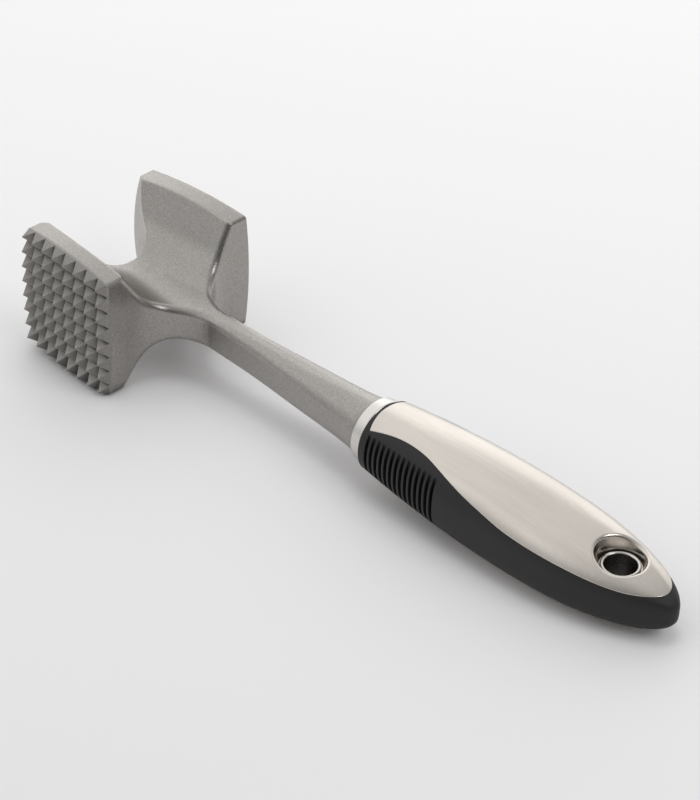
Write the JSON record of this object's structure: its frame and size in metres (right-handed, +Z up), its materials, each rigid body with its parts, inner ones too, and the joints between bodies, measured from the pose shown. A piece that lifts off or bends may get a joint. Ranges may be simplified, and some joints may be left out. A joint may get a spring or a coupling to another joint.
{
  "type": "meat tenderizer",
  "caption": "Two-faced meat mallet: cast head with a toothed face and a smooth face, cast shaft, steel collar, soft finned grip with steel covers and a hanging eyelet",
  "frame": {"origin": "on the table, under the middle of the tool's bounding box, with the tool lying at rest", "axes": "+X from the head to the tail of the handle, along the table; -Y the way the toothed face looks, +Y the way the smooth face looks; +Z up from the table"},
  "size_m": [0.2846, 0.072, 0.0518],
  "materials": {
    "cast_metal": "fine-grained satin casting",
    "satin_steel": "satin",
    "bright_steel": "bright satin",
    "soft_black": "matte",
    "core_plastic": "matte"
  },
  "bodies": {
    "root": {"head_casting": "cast_metal", "collar": "bright_steel", "handle_core": "core_plastic", "tang_pins": "bright_steel", "soft_grip": "soft_black", "top_shell": "satin_steel", "bottom_shell": "satin_steel", "eyelet_barrel": "bright_steel", "eyelet_ring": "bright_steel"}
  },
  "joints": []
}
